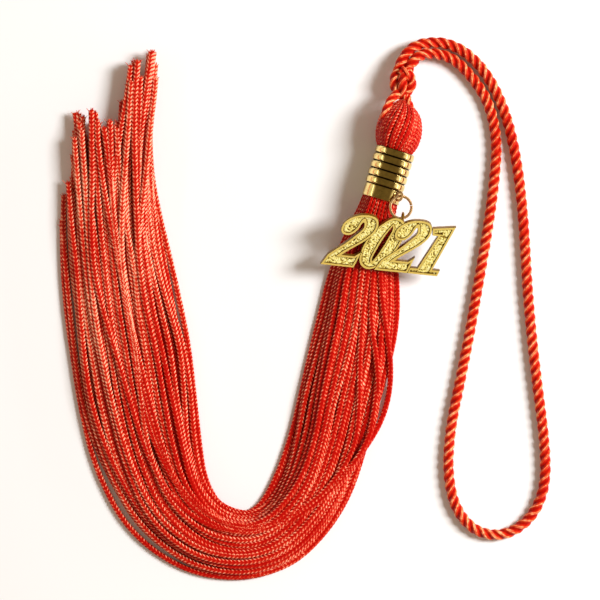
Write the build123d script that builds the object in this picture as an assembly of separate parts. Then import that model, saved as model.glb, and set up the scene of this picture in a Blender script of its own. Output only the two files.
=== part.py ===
from build123d import *
import math
import os

os.makedirs("parts", exist_ok=True)

# A graduation tassel laid flat: a skein of chainette strands folded over a short cord loop, gripped by
# a ribbed metal band, with a year charm on a jump ring and a long twisted cord loop to hang it by.
# All sizes are in millimetres. The layout is drawn on a table at z = 0 and moved at the end, so that the
# origin is under the middle of everything but the hanging cord.

# ------------------------------------------------------------------ driving dimensions
# band
BAND_LENGTH = 13.0
BAND_BORE_RADIUS = 4.25
BAND_SKIRT_RADIUS = 4.75
BAND_SKIRT_LENGTH = 3.3
BAND_RIBS = 5
BAND_RIB_HEIGHT = 0.25
BAND_GROOVE_DEPTH = 0.15
BAND_SHOULDER = 0.3
BAND_TILT = 17.4  # degrees from the table's +Y towards +X
MOUTH = (20.0, 25.0)  # middle of the band's lower end, on the table plan

# eyelet, ring
EYELET_WIRE = 0.6
EYELET_MEAN_RADIUS = 1.05
EYELET_STAND = 1.0  # centre of the eyelet above the skirt
EYELET_FROM_MOUTH = 2.1
EYELET_ROLL = 46.5  # degrees round the band from its top
SOLDER_FILM = 0.05
RING_WIRE = 0.7
RING_OUTER_DIAMETER = 6.2
RING_GAP = 0.12
RING_HEADING = (0.16, -1.0)
RING_DIP = 3.0  # degrees that the ring slopes down from the eyelet
RING_TILT = 14.0  # degrees that its right side hangs below its left

# charm
CHARM_PLATE = 1.0
CHARM_RIM_HEIGHT = 0.4
CHARM_RIM_WIDTH = 0.45
CHARM_RIM_INSET = 0.08  # the rim stands this far in from the numeral's edge, and clear of a numeral on top
CHARM_SLANT = 24.0  # degrees of italic lean
CHARM_TURN = -6.0  # degrees that the baseline turns on the table plan
CHARM_PITCH = 21.0  # degrees that the numerals' feet hang below their tops
CHARM_ROLL = 4.0  # degrees that the last numeral hangs below the first
NUMERAL_HEIGHT = 13.4  # as drawn
NUMERAL_STRETCH = 1.06
BAIL_WIRE = 0.55
BAIL_MEAN_RADIUS = 1.3
BAIL_ALONG = 19.0
BAIL_UP = 13.5
BAIL_DEPTH = 1.15  # bail centre under the plate's back face

# head, neck and cord
HEAD_RADIUS = 5.85
HEAD_LENGTH = 11.0
HEAD_FOLDS = 22
HEAD_SEAT_GAP = 0.65
HEAD_TILT = 9.0  # degrees from the table's +Y: the head leans back from the band's line
FOLD_GAP = 0.1
HEAD_CORE_RADIUS = 2.8
HEAD_WIDEST = 0.42  # share of the head's length at which it is widest
HEAD_LIP = 0.4
HEAD_TUCK = 0.3
NECK_CLEARANCE = 0.1
NECK_CORE_LENGTH = 2.5  # the bundle's heart reaches this far up into the head's hollow
NECK_CORE_CLEARANCE = 0.9
BINDING_THREAD = 0.6
BINDING_TURNS = 8
CORD_DIAMETER = 2.7
CORD_TABLE_CLEARANCE = 0.05
CORD_LEAD = 3.4  # straight out of the knot before the first bend
LOOP_DIAMETER = 2.0
LOOP_LEG_SPACING = 2.2
LOOP_LEAD = 0.8
KNOT_LENGTH = 7.0
KNOT_RADIUS = 3.35
KNOT_END_RADIUS = 2.95
KNOT_BASE = (25.35, 50.7)
KNOT_HEADING = (0.07, 1.0)
KNOT_HEIGHT = 4.8
MEETING_GAP = 0.05

# fringe
STRAND_DIAMETER = 0.75
STRAND_GAP = 0.105
STRAND_RINGS = 5
TAIL_LENGTH = 213.0
TAIL_SCATTER = 6.0
TAIL_OUTER_EXTRA = 9.0  # how much further the tails on the outside of the bend are drawn on
FRINGE_START_GAP = 0.1
FRINGE_STRAIGHT = 2.5
FRINGE_DROP = 14.0
FRINGE_FLATTEST = 0.6
FRINGE_FLAT_FROM = 1.9  # spread at which the pile lies flat on the table
SHORTEST_END_RUN = 4.0

# (x, y, half width) of the fringe on the table plan, from the mouth of the band to past the tips
FRINGE_STATIONS = [
    (19.25, 22.6, 4.75),
    (17.3, 15.2, 6.6),
    (15.8, 5.5, 9.1),
    (14.8, -4.5, 10.4),
    (12.6, -15.5, 10.9),
    (9.9, -26.0, 10.5),
    (7.6, -36.0, 10.0),
    (3.9, -46.5, 9.6),
    (-1.6, -54.9, 9.1),
    (-7.2, -59.6, 9.0),
    (-14.8, -61.6, 9.2),
    (-24.3, -59.2, 10.5),
    (-33.0, -51.2, 12.4),
    (-38.2, -38.9, 14.4),
    (-41.2, -25.5, 15.9),
    (-43.0, -13.5, 16.1),
    (-44.9, -3.0, 15.2),
    (-46.4, 8.0, 14.2),
    (-47.2, 19.0, 13.2),
    (-47.3, 30.5, 12.0),
    (-46.9, 42.0, 11.0),
    (-46.0, 53.0, 10.2),
    (-44.7, 64.5, 9.6),
    (-43.1, 76.0, 9.6),
    (-41.3, 88.0, 9.6),
]

# (x, y) of the hanging cord on the table plan, and how far it stands above the table
CORD_ROUTE = [
    (26.2, 64.2, 2.5),
    (30.8, 66.9, 1.2),
    (36.4, 66.2, 0.4),
    (41.4, 63.5, 0.1),
    (46.6, 58.0, 0.0),
    (50.6, 50.0, 0.0),
    (53.3, 40.5, 0.0),
    (55.2, 29.0, 0.0),
    (56.3, 16.0, 0.0),
    (57.0, 3.0, 0.0),
    (58.2, -10.5, 0.0),
    (59.7, -23.0, 0.0),
    (61.4, -36.0, 0.0),
    (61.6, -46.6, 0.0),
    (58.3, -54.6, 0.0),
    (51.6, -59.2, 0.0),
    (44.2, -58.4, 0.0),
    (38.9, -52.6, 0.0),
    (36.9, -43.2, 0.0),
    (37.7, -32.0, 0.0),
    (40.1, -20.5, 0.0),
    (42.5, -8.5, 0.0),
    (44.6, 3.5, 0.0),
    (46.8, 16.0, 0.0),
    (48.6, 28.5, 0.0),
    (49.5, 39.5, 0.0),
    (47.6, 49.0, 0.0),
    (43.4, 56.6, 0.1),
    (37.2, 62.1, 0.6),
    (30.4, 63.5, 1.9),
]

# the numerals' own upright outlines, anticlockwise, before they lean: two is straight round its foot and
# curved over its bowl and ball, then back down the slot beside the ball
FIRST_TWO = 0.0
SECOND_TWO = 13.4
TWO_OUTLINE = [
    (0, 0),
    (8.4, 0),
    (8.0, 4.2),
    (6.9, 2.9),
    (3.8, 2.9),
    (5.9, 5.4),
    (7.9, 7.9),
    (8.4, 10.3),
    (7.1, 12.6),
    (3.9, NUMERAL_HEIGHT),
    (0.8, 12.5),
    (-0.4, 10.2),
    (0.5, 8.4),
    (2.2, 7.9),
    (3.7, 8.9),
    (4.0, 10.6),
    (4.4, 11.3),
    (4.85, 10.6),
    (4.6, 9.0),
    (2.9, 6.0),
    (0.3, 2.6),
]
TWO_BOWL_START = 4
TWO_SLOT_START = 15
TWO_SLOT_END = 20
NOUGHT_MIDDLE = 11.7
NOUGHT_HALF_WIDTH = 4.3
SLIT_HALF_WIDTH = 0.55
SLIT_HALF_HEIGHT = 4.5
ONE_OUTLINE = [
    (21.6, 0),
    (29.4, 0),
    (29.2, 1.5),
    (27.3, 1.5),
    (26.7, 12.7),
    (21.3, 11.8),
    (22.3, 10.0),
    (23.7, 10.0),
    (23.5, 1.5),
    (21.5, 1.5),
]
LONGEST_MITRE = 3.0

UP = Vector(0, 0, 1)
HEAD_HEIGHT = HEAD_RADIUS
band_axis = Vector(math.sin(math.radians(BAND_TILT)), math.cos(math.radians(BAND_TILT)), 0)
band_side = Vector(band_axis.Y, -band_axis.X, 0)
mouth = Vector(MOUTH[0], MOUTH[1], HEAD_HEIGHT)
band_plane = Plane(origin=mouth, x_dir=band_side, z_dir=band_axis)
head_axis = Vector(math.sin(math.radians(HEAD_TILT)), math.cos(math.radians(HEAD_TILT)), 0)
head_side = Vector(head_axis.Y, -head_axis.X, 0)
head_base = mouth + band_axis * BAND_LENGTH + head_axis * HEAD_SEAT_GAP
head_plane = Plane(origin=head_base, x_dir=head_side, z_dir=head_axis)


def degrees_vector(first, second, angle):
    return first * math.cos(math.radians(angle)) + second * math.sin(math.radians(angle))


def square_to(vector, direction):
    return (vector - direction * vector.dot(direction)).normalized()


def turned(points):
    """A closed profile of (radius, height) points, ready to revolve about the local z axis."""
    return make_face(Polyline(*[(radius, 0, height) for radius, height in points], close=True))


# ------------------------------------------------------------------ band and what hangs on it
def band_profile():
    rib_pitch = (BAND_LENGTH - BAND_SKIRT_LENGTH) / BAND_RIBS
    groove = BAND_SKIRT_RADIUS - BAND_GROOVE_DEPTH
    crest = BAND_SKIRT_RADIUS + BAND_RIB_HEIGHT
    outline = [(BAND_BORE_RADIUS, 0), (BAND_SKIRT_RADIUS, 0)]
    outline.append((BAND_SKIRT_RADIUS, BAND_SKIRT_LENGTH - BAND_SHOULDER))
    for rib in range(BAND_RIBS):
        start = BAND_SKIRT_LENGTH + rib * rib_pitch
        outline.append((groove, start))
        outline.append((crest, start + BAND_SHOULDER))
        outline.append((crest, start + rib_pitch - BAND_SHOULDER))
    outline.append((groove, BAND_LENGTH))
    outline.append((BAND_BORE_RADIUS, BAND_LENGTH))
    return outline


def make_band():
    return band_plane * revolve(turned(band_profile()), Axis.Z)


outward = degrees_vector(UP, band_side, EYELET_ROLL)
around = degrees_vector(band_side, UP, -EYELET_ROLL)
eyelet_centre = mouth + band_axis * EYELET_FROM_MOUTH + outward * (BAND_SKIRT_RADIUS + EYELET_STAND)


def make_band_eyelet():
    loop = Torus(EYELET_MEAN_RADIUS, EYELET_WIRE / 2)
    seat = Cylinder(BAND_SKIRT_RADIUS + SOLDER_FILM, BAND_LENGTH)
    return Plane(origin=eyelet_centre, x_dir=outward, z_dir=around) * loop - band_plane * seat


# the ring hangs from the eyelet: ring_down runs from the eyelet to the charm, ring_across is its hinge
ring_mean_radius = (RING_OUTER_DIAMETER - RING_WIRE) / 2
ring_level = Vector(RING_HEADING[0], RING_HEADING[1], 0).normalized()
ring_down = degrees_vector(ring_level, UP, -RING_DIP)
ring_across = square_to(degrees_vector(Vector(-ring_level.Y, ring_level.X, 0), UP, -RING_TILT), ring_down)
ring_centre = eyelet_centre + ring_down * ring_mean_radius
bail_centre = eyelet_centre + ring_down * (2 * ring_mean_radius)


def make_jump_ring():
    ring_plane = Plane(origin=ring_centre, x_dir=ring_across, z_dir=ring_across.cross(ring_down))
    cut = Pos(ring_mean_radius, 0, 0) * Box(2 * RING_WIRE, RING_GAP, 2 * RING_WIRE)
    return ring_plane * (Torus(ring_mean_radius, RING_WIRE / 2) - cut)


# ------------------------------------------------------------------ charm
def lean(points):
    slant = math.tan(math.radians(CHARM_SLANT))
    return [(x + y * slant, y * NUMERAL_STRETCH) for x, y in points]


def inset(points, amount):
    """A closed outline, listed anticlockwise, with every side moved in by the amount."""
    moved = []
    count = len(points)
    for index in range(count):
        before = Vector(*points[index - 1])
        here = Vector(*points[index])
        after = Vector(*points[(index + 1) % count])
        first = (here - before).normalized()
        second = (after - here).normalized()
        inward = Vector(-first.Y, first.X) + Vector(-second.Y, second.X)
        reach = min(2 / inward.length**2, LONGEST_MITRE / inward.length)
        moved.append(here + inward * (reach * amount))
    return moved


def numeral_two(left, amount=0):
    outline = [(left + x, y) for x, y in TWO_OUTLINE]
    points = inset(lean(outline), amount)
    foot = points[TWO_SLOT_END:] + points[: TWO_BOWL_START + 1]
    bowl = points[TWO_BOWL_START : TWO_SLOT_START + 1]
    slot = points[TWO_SLOT_START : TWO_SLOT_END + 1]
    return make_face(Polyline(*foot) + Spline(*bowl) + Spline(*slot))


def numeral_one(amount=0):
    return make_face(Polyline(*inset(lean(ONE_OUTLINE), amount), close=True))


def closed_curve(across, up):
    steps = 12
    points = []
    for step in range(steps):
        angle = 2 * math.pi * step / steps
        points.append((NOUGHT_MIDDLE + across * math.sin(angle), NUMERAL_HEIGHT / 2 + up * math.cos(angle)))
    return make_face(Spline(*lean(points), periodic=True))


def oval(amount):
    return closed_curve(NOUGHT_HALF_WIDTH - amount, NUMERAL_HEIGHT / 2 - amount)


def slit(amount):
    return closed_curve(SLIT_HALF_WIDTH + amount, SLIT_HALF_HEIGHT + amount)


def charm_faces():
    """The four numerals as flat shapes, and the rims that stand up from them. The twos lie on top."""
    near = CHARM_RIM_INSET
    far = CHARM_RIM_INSET + CHARM_RIM_WIDTH
    nought = oval(0) - slit(0)
    plate = numeral_two(FIRST_TWO) + nought + numeral_two(SECOND_TWO) + numeral_one()
    rims = [oval(near) - oval(far), slit(far) - slit(near), numeral_one(near) - numeral_one(far)]
    for left in (FIRST_TWO, SECOND_TWO):
        rims = [rim - numeral_two(left, -near) for rim in rims]
    rims += [numeral_two(left, near) - numeral_two(left, far) for left in (FIRST_TWO, SECOND_TWO)]
    return plate, rims


charm_level = degrees_vector(Vector(1, 0, 0), Vector(0, 1, 0), CHARM_TURN)
charm_along = degrees_vector(charm_level, UP, -CHARM_ROLL)
charm_rise = square_to(degrees_vector(UP.cross(charm_level), UP, CHARM_PITCH), charm_along)
charm_face = charm_along.cross(charm_rise)
charm_origin = bail_centre - charm_along * BAIL_ALONG - charm_rise * BAIL_UP + charm_face * BAIL_DEPTH
charm_plane = Plane(origin=charm_origin, x_dir=charm_along, z_dir=charm_face)


def make_year_charm():
    plate, rims = charm_faces()
    bail = Pos(BAIL_ALONG, BAIL_UP, -BAIL_DEPTH) * Rot(0, 90, 0) * Torus(BAIL_MEAN_RADIUS, BAIL_WIRE / 2)
    charm = extrude(plate, CHARM_PLATE) + bail
    for rim in rims:
        charm += Pos(0, 0, CHARM_PLATE) * extrude(rim, CHARM_RIM_HEIGHT)
    return charm_plane * charm


# ------------------------------------------------------------------ neck and head
neck_radius = BAND_BORE_RADIUS - NECK_CLEARANCE
binding_length = BINDING_TURNS * (BINDING_THREAD + STRAND_GAP)
binding_start = (BAND_LENGTH - binding_length) / 2


def make_neck_bundle():
    waist = neck_radius - BINDING_THREAD - NECK_CLEARANCE
    core_top = BAND_LENGTH + NECK_CORE_LENGTH
    core_radius = HEAD_CORE_RADIUS - NECK_CORE_CLEARANCE
    outline = [(0, 0), (neck_radius, 0), (neck_radius, binding_start), (waist, binding_start)]
    outline += [(waist, binding_start + binding_length), (neck_radius, binding_start + binding_length)]
    outline += [(neck_radius, BAND_LENGTH), (core_radius, BAND_LENGTH), (core_radius, core_top), (0, core_top)]
    return band_plane * revolve(turned(outline), Axis.Z)


def make_neck_binding():
    turns = []
    for turn in range(BINDING_TURNS):
        height = binding_start + (turn + 0.5) * (BINDING_THREAD + STRAND_GAP)
        ring = Torus(neck_radius - BINDING_THREAD / 2, BINDING_THREAD / 2)
        turns.append(band_plane * (Pos(0, 0, height) * ring))
    return turns


def make_head_loops():
    """The folds of the strands: equal segments of a bulb round the hollow that the cord's loop sits in."""
    middle = HEAD_WIDEST * HEAD_LENGTH
    foot = neck_radius - HEAD_TUCK
    lip = HEAD_CORE_RADIUS + HEAD_LIP
    outer = Spline(
        (foot, 0, 0), (HEAD_RADIUS, 0, middle), (lip, 0, HEAD_LENGTH), tangents=[(1, 0, 0.9), (-1, 0, 0.25)]
    )
    inner = Polyline(
        (lip, 0, HEAD_LENGTH), (HEAD_CORE_RADIUS, 0, HEAD_LENGTH), (HEAD_CORE_RADIUS, 0, 0), (foot, 0, 0)
    )
    step = 360 / HEAD_FOLDS
    gap_angle = math.degrees(FOLD_GAP / HEAD_CORE_RADIUS)
    fold = revolve(make_face(outer + inner), Axis.Z, step - gap_angle)
    return [head_plane * (Rot(0, 0, step * index) * fold) for index in range(HEAD_FOLDS)]


# ------------------------------------------------------------------ cords
def arc_radii(points):
    """For each corner: 0.45 of its shorter run, divided by the tangent of half its turn."""
    radii = []
    for before, here, after in zip(points, points[1:], points[2:]):
        shorter = min((here - before).length, (after - here).length)
        half_turn = math.radians((here - before).get_angle(after - here)) / 2
        radii.append(0.45 * shorter / math.tan(half_turn))
    return radii


def tube(name, points, diameter, radii):
    path = FilletPolyline(*points, radius=radii)
    section = Plane(origin=path @ 0, z_dir=path % 0) * Circle(diameter / 2)
    solid = sweep(section, path=path)
    share = solid.volume / (math.pi * diameter**2 / 4 * path.length)
    print(f"{name}: length {path.length:.1f}, smallest radius {min(radii):.1f}, volume share {share:.4f}")
    return solid


knot_axis = Vector(KNOT_HEADING[0], KNOT_HEADING[1], 0).normalized()
knot_side = Vector(knot_axis.Y, -knot_axis.X, 0)
knot_base = Vector(KNOT_BASE[0], KNOT_BASE[1], KNOT_HEIGHT)
knot_top = knot_base + knot_axis * KNOT_LENGTH


def make_cord_knot():
    """The overhand knot, as the barrel that it fills."""
    base = Line((0, 0, 0), (KNOT_END_RADIUS, 0, 0))
    side = ThreePointArc(
        (KNOT_END_RADIUS, 0, 0), (KNOT_RADIUS, 0, KNOT_LENGTH / 2), (KNOT_END_RADIUS, 0, KNOT_LENGTH)
    )
    rest = Polyline((KNOT_END_RADIUS, 0, KNOT_LENGTH), (0, 0, KNOT_LENGTH), (0, 0, 0))
    barrel = revolve(make_face(base + side + rest), Axis.Z)
    return Plane(origin=knot_base, x_dir=knot_side, z_dir=knot_axis) * barrel


def make_skein_loop():
    """The short end of the cord: out of the knot, down the head's hollow, round and back."""
    bend = head_base + head_axis * (HEAD_WIDEST * HEAD_LENGTH)
    lip = head_base + head_axis * (HEAD_LENGTH - LOOP_LEAD)
    exit_point = knot_base - knot_axis * MEETING_GAP
    middle_line = [exit_point, exit_point - knot_axis * LOOP_LEAD, lip, bend]
    half = LOOP_LEG_SPACING / 2
    sides = [knot_side, knot_side, head_side, head_side]
    left = [point - side * half for point, side in zip(middle_line, sides)]
    right = [point + side * half for point, side in zip(middle_line, sides)]
    points = left + right[::-1]
    radii = [min(radius, 0.98 * half) if turn in (2, 3) else radius for turn, radius in enumerate(arc_radii(points))]
    return tube("skein_loop", points, LOOP_DIAMETER, radii)


def make_hanging_cord():
    bottom = CORD_DIAMETER / 2 + CORD_TABLE_CLEARANCE
    start = knot_top + knot_axis * MEETING_GAP
    leg = CORD_DIAMETER / 2 + MEETING_GAP
    first = start - knot_side * leg
    last = start + knot_side * leg
    between = [Vector(x, y, bottom + rise) for x, y, rise in CORD_ROUTE]
    points = [first, first + knot_axis * CORD_LEAD] + between + [last + knot_axis * CORD_LEAD, last]
    return tube("hanging_cord", points, CORD_DIAMETER, arc_radii(points))


# ------------------------------------------------------------------ fringe
pitch = STRAND_DIAMETER + STRAND_GAP
row_rise = pitch * math.sin(math.radians(60))
neck_half_width = STRAND_RINGS * pitch + STRAND_DIAMETER / 2
fringe_start = mouth - band_axis * FRINGE_START_GAP
neck_lift = HEAD_HEIGHT - (STRAND_RINGS * row_rise + STRAND_DIAMETER / 2)


def fringe_line():
    """The fringe's middle line: plan point, sideways direction, spread, flatness, lift, whether it lies flat."""
    stations = [(fringe_start.X, fringe_start.Y, neck_half_width)] + FRINGE_STATIONS
    plan = [Vector(x, y, 0) for x, y, _ in stations]
    line = []
    run = 0
    for index, (x, y, half_width) in enumerate(stations):
        if index:
            run += (plan[index] - plan[index - 1]).length
        side = band_side
        if 1 < index < len(stations) - 1:
            heading = (plan[index] - plan[index - 1]).normalized() + (plan[index + 1] - plan[index]).normalized()
            side = Vector(-heading.Y, heading.X, 0).normalized()
        elif index > 1:
            heading = plan[index] - plan[index - 1]
            side = Vector(-heading.Y, heading.X, 0).normalized()
        spread = max(1.0, half_width / neck_half_width)
        closest = math.sqrt(max(0.0, 1 - (spread / 2) ** 2)) / math.sin(math.radians(60))
        flatness = max(FRINGE_FLATTEST, closest)
        lift = neck_lift * min(1.0, max(0.0, 1 - (run - FRINGE_STRAIGHT) / FRINGE_DROP))
        line.append((plan[index], side, spread, flatness, lift, spread >= FRINGE_FLAT_FROM))
    return line


def tail_points(line, across, row):
    """A tail's points: its place in the neck's hexagon, carried along the fringe as the pile spreads."""
    full_height = STRAND_RINGS * row_rise
    tallest = min(1.0, 2 * (1 - abs(across) / (STRAND_RINGS * pitch))) * full_height
    points = []
    for centre, side, spread, flatness, lift, lies_flat in line:
        height = row * row_rise * flatness + STRAND_DIAMETER / 2 + lift
        height += (tallest if lies_flat else full_height) * flatness
        points.append(centre + side * (across * spread) + UP * height)
    return points


def cut_to_length(points, length):
    kept = [points[0]]
    left = length
    for before, after in zip(points, points[1:]):
        run = (after - before).length
        if left <= run + SHORTEST_END_RUN:
            kept.append(before + (after - before) * (min(left, run) / run))
            return kept
        kept.append(after)
        left -= run
    return kept


def strand_places():
    """Places in the neck, two to a strand: the front tail and the back tail of one folded strand."""
    places = []
    for row in range(STRAND_RINGS, 0, -1):
        count = 2 * STRAND_RINGS + 1 - row
        for number in range(count):
            across = (number - (count - 1) / 2) * pitch
            places.append([(across, row), (across, -row)])
    for number in range(STRAND_RINGS, 0, -1):
        places.append([(-number * pitch, 0), (number * pitch, 0)])
    return places


def tail_length(number, across):
    golden = (math.sqrt(5) - 1) / 2
    outer = max(0.0, across / (STRAND_RINGS * pitch))
    return TAIL_LENGTH + TAIL_OUTER_EXTRA * outer + TAIL_SCATTER * (2 * ((number * golden) % 1) - 1)


def make_strands():
    line = fringe_line()
    strands = {}
    number = 0
    for index, places in enumerate(strand_places(), start=1):
        tails = []
        for across, row in places:
            number += 1
            points = cut_to_length(tail_points(line, across, row), tail_length(number, across))
            tails.append(tube(f"tail {number}", points, STRAND_DIAMETER, arc_radii(points)))
        strands[f"strand_{index:02d}"] = tails
    return strands


# ------------------------------------------------------------------ assembly
nodes = {
    "band": [make_band()],
    "band_eyelet": [make_band_eyelet()],
    "jump_ring": [make_jump_ring()],
    "year_charm": [make_year_charm()],
    "neck_bundle": [make_neck_bundle()],
    "neck_binding": make_neck_binding(),
    "head_loops": make_head_loops(),
    "skein_loop": [make_skein_loop()],
    "cord_knot": [make_cord_knot()],
    "hanging_cord": [make_hanging_cord()],
}
nodes.update(make_strands())

resting = [solid for name, solids in nodes.items() if name != "hanging_cord" for solid in solids]
box = Compound(children=resting).bounding_box()
to_origin = Vector(-(box.min.X + box.max.X) / 2, -(box.min.Y + box.max.Y) / 2, 0)
for name, solids in nodes.items():
    placed = [Pos(to_origin) * solid for solid in solids]
    export_step(Compound(children=placed), os.path.join("parts", f"{name}.step"))

for name, point, axis in (
    ("ring_swing", eyelet_centre, ring_across),
    ("charm_swing", bail_centre, charm_along),
    ("ring centre", ring_centre, ring_down),
    ("knot top", knot_top, knot_axis),
):
    placed = point + to_origin
    print(f"{name}: at {placed.X:.4f} {placed.Y:.4f} {placed.Z:.4f} axis {axis.X:.5f} {axis.Y:.5f} {axis.Z:.5f}")
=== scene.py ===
# %% [markdown]
# # A graduation tassel, laid out flat
# The real thing is a skein of rayon chainette, a narrow knitted cord, folded in half over a short loop of
# twisted cord. A gold band is crimped on below the fold, and a small eyelet on the band carries a jump ring
# and a year charm. A long twisted loop, knotted above the head, goes over the button of a cap. The CAD
# model fixes where every piece is and how it moves, so it is loaded first and nothing in it is moved. The
# finished pieces have to stay inside it.

# %% Load the frame
import math

import bpy
import numpy as np
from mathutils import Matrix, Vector
from mathutils.bvhtree import BVHTree


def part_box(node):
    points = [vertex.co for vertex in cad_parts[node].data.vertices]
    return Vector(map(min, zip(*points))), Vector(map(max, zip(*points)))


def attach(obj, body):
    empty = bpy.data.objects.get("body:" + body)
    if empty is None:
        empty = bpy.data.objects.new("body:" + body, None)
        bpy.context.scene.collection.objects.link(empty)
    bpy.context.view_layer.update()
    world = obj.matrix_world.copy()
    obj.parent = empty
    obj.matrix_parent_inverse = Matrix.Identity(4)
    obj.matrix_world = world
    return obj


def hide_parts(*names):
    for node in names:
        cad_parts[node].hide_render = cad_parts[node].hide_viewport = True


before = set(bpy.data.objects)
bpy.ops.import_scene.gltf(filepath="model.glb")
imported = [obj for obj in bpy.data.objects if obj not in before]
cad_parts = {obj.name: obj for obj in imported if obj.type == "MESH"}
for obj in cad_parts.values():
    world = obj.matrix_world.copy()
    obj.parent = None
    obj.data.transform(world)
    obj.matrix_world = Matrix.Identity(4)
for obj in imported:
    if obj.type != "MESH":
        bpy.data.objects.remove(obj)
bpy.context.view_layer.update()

# %% [markdown]
# The layout was drawn in millimetres on a table plan, so the same numbers are used here. The knot is a
# plain barrel in the CAD model, equal on both sides of its middle, so its box tells how far the plan was
# shifted.

# %% Millimetres on the plan to metres in the frame
MM = 0.001
UP = np.array([0.0, 0.0, 1.0])
KNOT_BASE = np.array([25.35, 50.7, 4.8])
KNOT_LENGTH = 7.0
knot_axis = np.array([0.07, 1.0, 0.0]) / math.hypot(0.07, 1.0)
knot_side = np.array([knot_axis[1], -knot_axis[0], 0.0])
knot_low, knot_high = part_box("cord_knot")
plan_shift = np.array((knot_low + knot_high) / 2) / MM - (KNOT_BASE + knot_axis * KNOT_LENGTH / 2)
plan_shift[2] = 0.0
print("plan to frame, mm:", plan_shift.round(3))


def to_frame(points):
    return (np.asarray(points, float) + plan_shift) * MM


# %% [markdown]
# The camera looks straight down from high up with a long lens, so that the tassel is seen almost without
# perspective, and the view is 150 mm wide at the height of the pile.

# %% Camera
VIEW_WIDTH = 150.0
CAMERA_HEIGHT = 900.0
PILE_HEIGHT = 4.0
camera_data = bpy.data.cameras.new("overhead")
camera_data.sensor_width = 36.0
camera_data.lens = camera_data.sensor_width * (CAMERA_HEIGHT - PILE_HEIGHT) / VIEW_WIDTH
camera_data.clip_end = 20.0
camera = bpy.data.objects.new("overhead", camera_data)
camera.location = to_frame((0.0, 0.0, CAMERA_HEIGHT))
bpy.context.scene.collection.objects.link(camera)
bpy.context.scene.camera = camera

# %% [markdown]
# Every thread here is a tube that follows a smooth line. The line is a NURBS curve through a few loose
# points, which bends the way a limp cord does. Blender turns it into many short runs, and those are evened
# out so that the knitted pattern keeps one pitch all the way along.


# %% Smooth lines
def smooth_line(points, spacing):
    """Points at an even spacing along the smooth curve that a few route points give. All in millimetres."""
    data = bpy.data.curves.new("route", "CURVE")
    data.dimensions = "3D"
    spline = data.splines.new("NURBS")
    spline.points.add(len(points) - 1)
    for target, point in zip(spline.points, points):
        target.co = (*point, 1.0)
    spline.order_u = 3
    spline.use_endpoint_u = True
    spline.resolution_u = 16
    holder = bpy.data.objects.new("route", data)
    bpy.context.scene.collection.objects.link(holder)
    mesh = bpy.data.meshes.new_from_object(holder)
    line = np.empty(len(mesh.vertices) * 3)
    mesh.vertices.foreach_get("co", line)
    line = line.reshape(-1, 3)
    bpy.data.objects.remove(holder)
    bpy.data.curves.remove(data)
    bpy.data.meshes.remove(mesh)
    runs = np.linalg.norm(np.diff(line, axis=0), axis=1)
    line = line[np.concatenate([[True], runs > 1e-6])]
    travelled = np.concatenate([[0.0], np.cumsum(np.linalg.norm(np.diff(line, axis=0), axis=1))])
    count = max(3, int(round(travelled[-1] / spacing)) + 1)
    wanted = np.linspace(0.0, travelled[-1], count)
    return np.stack([np.interp(wanted, travelled, line[:, k]) for k in range(3)], axis=1), wanted


def side_and_top(line, start_up):
    """Which way the side and the top look at each point of a line, with as little twist as can be."""
    ahead = np.gradient(line, axis=0)
    ahead /= np.linalg.norm(ahead, axis=1)[:, None]
    top = np.empty_like(ahead)
    top[0] = start_up - ahead[0] * (start_up @ ahead[0])
    for i in range(1, len(line)):
        top[i] = top[i - 1] - ahead[i] * (top[i - 1] @ ahead[i])
        top[i] /= np.linalg.norm(top[i])
    top[0] /= np.linalg.norm(top[0])
    return np.cross(ahead, top), top


# %% [markdown]
# A knitted or twisted cord shows its make in its outline, so the tubes are built point by point. Each ring
# of the tube has its own radius at every angle, which is where the stitches and the plies stand up. The
# tube also keeps three numbers at every point for its material: how high the relief is, how far along the
# cord it is, and a tone that differs a little from one cord to the next. The tube's own map is laid in
# rows, like a long ribbon folded to fit a square, so that the finish can be painted on it later without
# stretching.


# %% Tubes with relief
MAP_MARGIN = 0.03  # share of a row of the map that is left free on each side


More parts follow.
